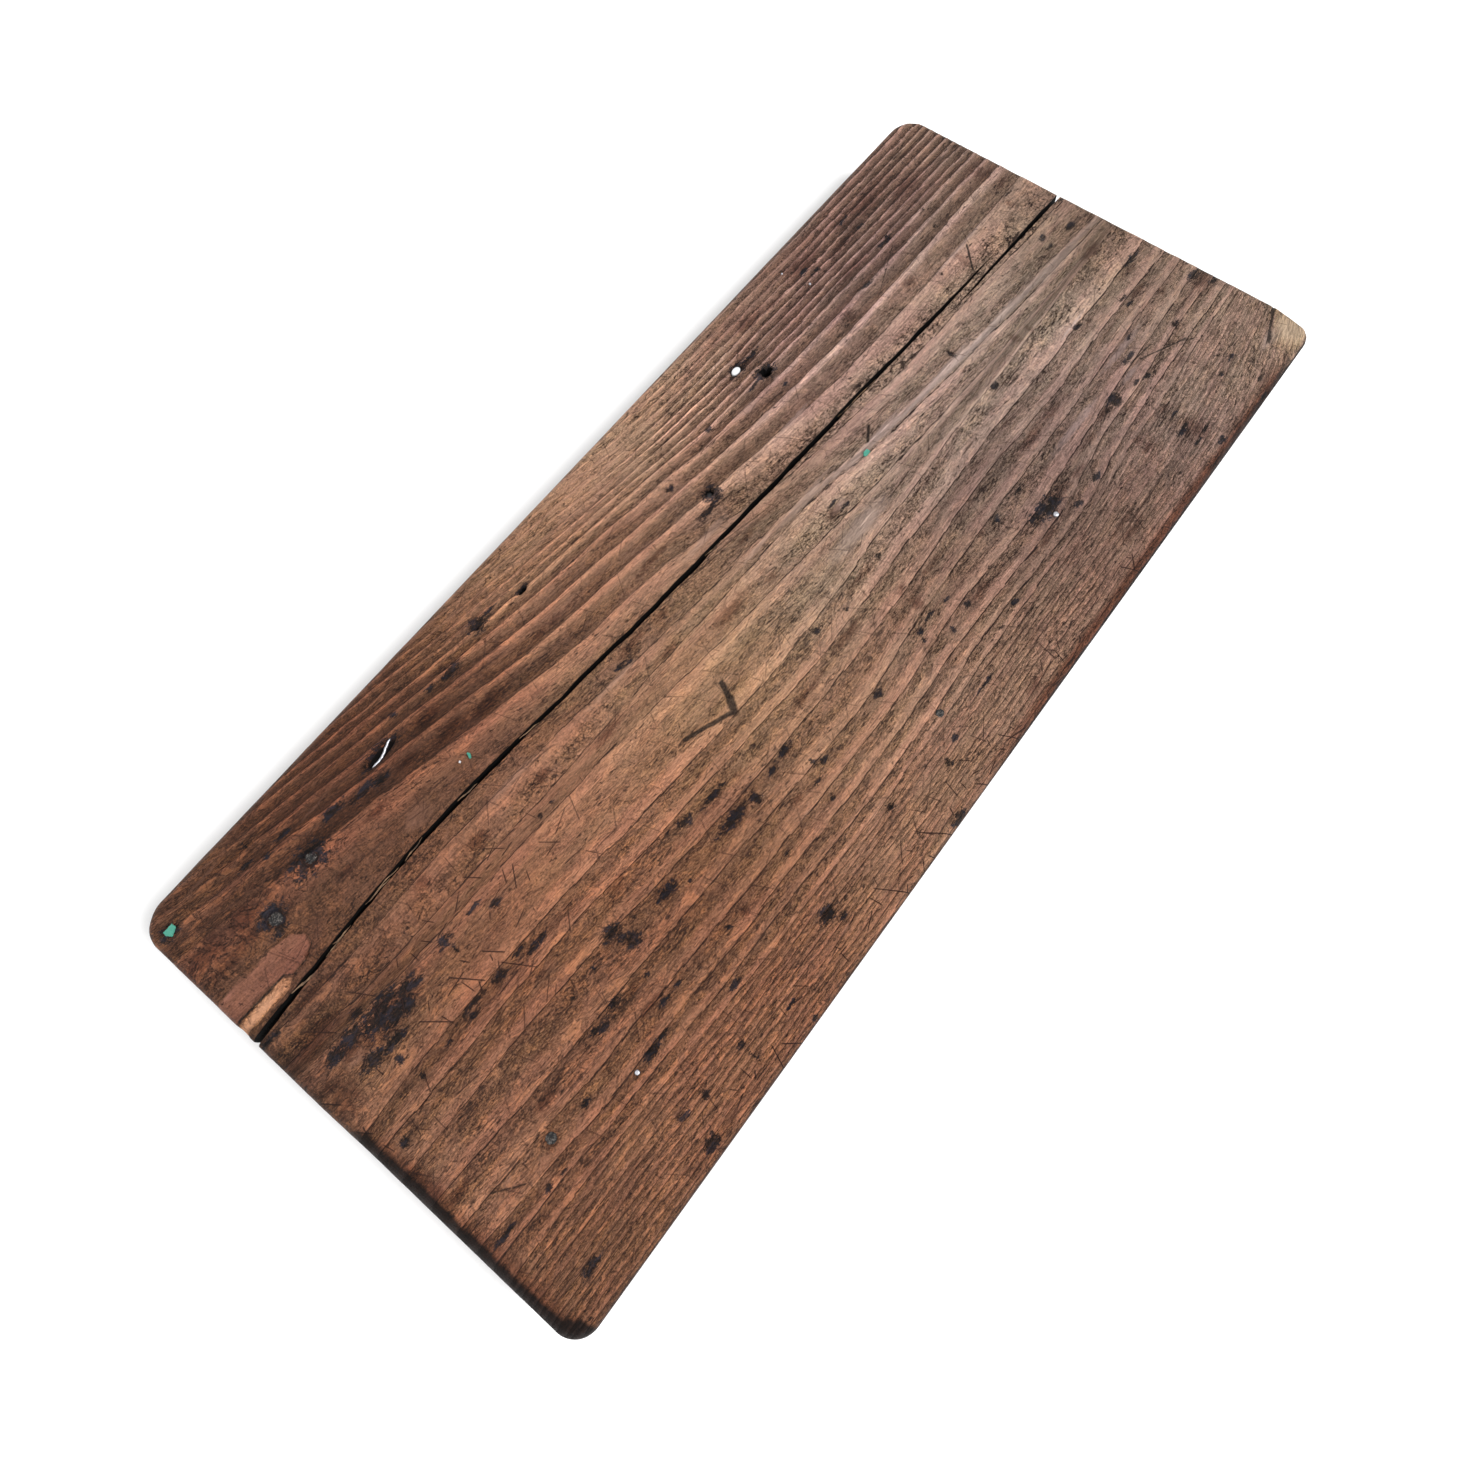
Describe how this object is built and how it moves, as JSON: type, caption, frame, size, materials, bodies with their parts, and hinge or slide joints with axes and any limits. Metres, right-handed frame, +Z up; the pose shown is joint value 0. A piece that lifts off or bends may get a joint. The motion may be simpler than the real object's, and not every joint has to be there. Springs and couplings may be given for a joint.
{
  "type": "scaffold plank",
  "caption": "Short worn offcut of timber scaffold board with rounded corners, weathered ridged grain, a long open drying crack, old nails and dried paint flecks.",
  "frame": {"origin": "middle of the underside, on the surface that the board rests on", "axes": "+X along the grain to the far end, +Y across to the left long edge, +Z up through the thickness"},
  "size_m": [0.512, 0.225, 0.038],
  "materials": {
    "weathered_timber": "weathered softwood, ridged grain, dark stains",
    "bright_steel": "bare steel wire, scuffed",
    "rusted_iron": "black rust with a few grey glints",
    "teal_paint": "dried paint, matt",
    "white_filler": "dried filler, matt"
  },
  "bodies": {
    "root": {"board": "weathered_timber", "clenched_nail": "bright_steel", "bright_nail_end": "bright_steel", "glint_nail_stub": "bright_steel", "pin_end_outer": "bright_steel", "pin_end_inner": "bright_steel", "hole_nail_stub": "rusted_iron", "blackened_nail_head": "rusted_iron", "corroded_nail_head": "rusted_iron", "round_head_near": "rusted_iron", "round_head_edge": "rusted_iron", "white_filler": "white_filler", "white_paint_speck": "white_filler", "teal_paint_corner": "teal_paint", "teal_paint_middle": "teal_paint", "teal_paint_small": "teal_paint"}
  },
  "joints": []
}
